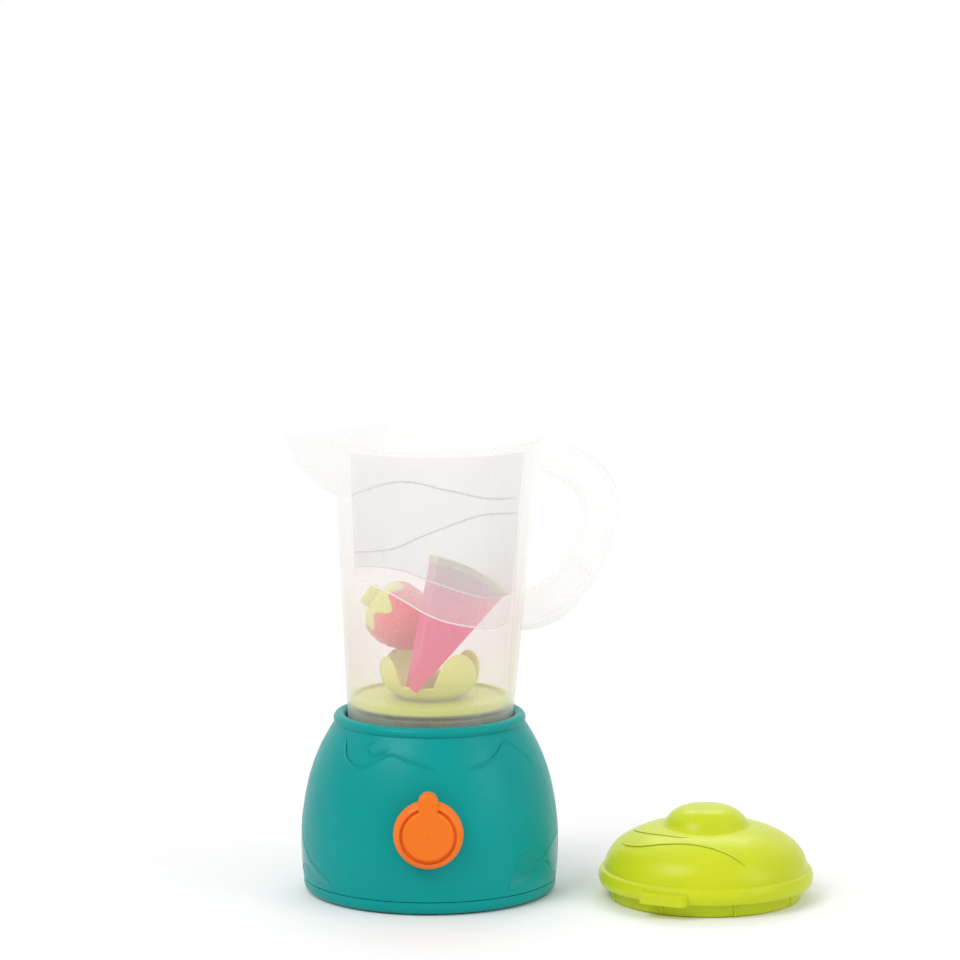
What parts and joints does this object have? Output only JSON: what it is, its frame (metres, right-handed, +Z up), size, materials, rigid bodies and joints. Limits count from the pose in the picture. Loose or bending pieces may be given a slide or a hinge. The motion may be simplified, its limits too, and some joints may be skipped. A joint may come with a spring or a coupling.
{
  "type": "toy blender",
  "caption": "Toy blender: domed base with a geared front dial, lift-out frosted jug with spout and handle, spinning disc with petal cup, loose fruit and a domed lid.",
  "frame": {"origin": "on the axis of the base at table height", "axes": "+Z up along the base's axis, the dial faces -Y, the spout points to -X, the handle and the loose lid are on the +X side"},
  "size_m": [0.2475, 0.1305, 0.215],
  "materials": {
    "base": "satin",
    "lime": "satin",
    "steel": "brushed",
    "white": "matte",
    "orange": "soft gloss",
    "berry": "satin",
    "leaf": "satin",
    "melon": "satin",
    "rind": "satin",
    "lid": "satin",
    "jug": "frosted, lets light through"
  },
  "bodies": {
    "base": {"base_shell": "base", "base_cover": "base", "cover_screws": "steel", "deck": "lime", "deck_screws": "steel", "spindle_bush": "white", "gear_bracket": "white", "bracket_screws": "steel"},
    "dial": {"dial": "orange", "dial_shaft": "steel", "shaft_clip": "steel", "crown_gear": "white"},
    "spindle": {"spindle": "steel", "spindle_pinion": "white", "spindle_washer": "steel", "spindle_sleeve": "white", "drive_dog": "lime"},
    "jug": {"jug": "jug", "jug_handle": "jug"},
    "spinner": {"spinner_disc": "lime", "spinner_coupler": "lime", "blade_cup": "lime", "coupler_screw": "steel"},
    "strawberry": {"strawberry_body": "berry", "strawberry_leaf": "leaf"},
    "melon": {"melon_flesh": "melon", "melon_rind": "rind"},
    "lid": {"lid": "lid"}
  },
  "joints": [
    {"name": "dial_turn", "type": "hinge", "parent": "base", "child": "dial", "pos_m": [0, -0.061, 0.0394], "axis": [0, 1, 0], "continuous": true},
    {"name": "spindle_turn", "type": "hinge", "parent": "base", "child": "spindle", "pos_m": [0, 0, 0.0046], "axis": [0, 0, 1], "continuous": true},
    {"name": "jug_lift", "type": "slide", "parent": "base", "child": "jug", "axis": [0, 0, 1], "range_m": [0, 0.12]},
    {"name": "spinner_turn", "type": "hinge", "parent": "jug", "child": "spinner", "pos_m": [0, 0, 0.09], "axis": [0, 0, 1], "continuous": true},
    {"name": "strawberry_lift", "type": "slide", "parent": "spinner", "child": "strawberry", "axis": [0, 0, 1], "range_m": [0, 0.13]},
    {"name": "melon_lift", "type": "slide", "parent": "spinner", "child": "melon", "axis": [0, 0, 1], "range_m": [0, 0.13]},
    {"name": "lid_lift", "type": "slide", "parent": "base", "child": "lid", "axis": [0.5, 0, 0.866], "range_m": [0, 0.25]}
  ],
  "couplings": [
    {"joint": "spindle_turn", "follows": "dial_turn", "ratio": 3},
    {"joint": "spinner_turn", "follows": "dial_turn", "ratio": 3}
  ]
}
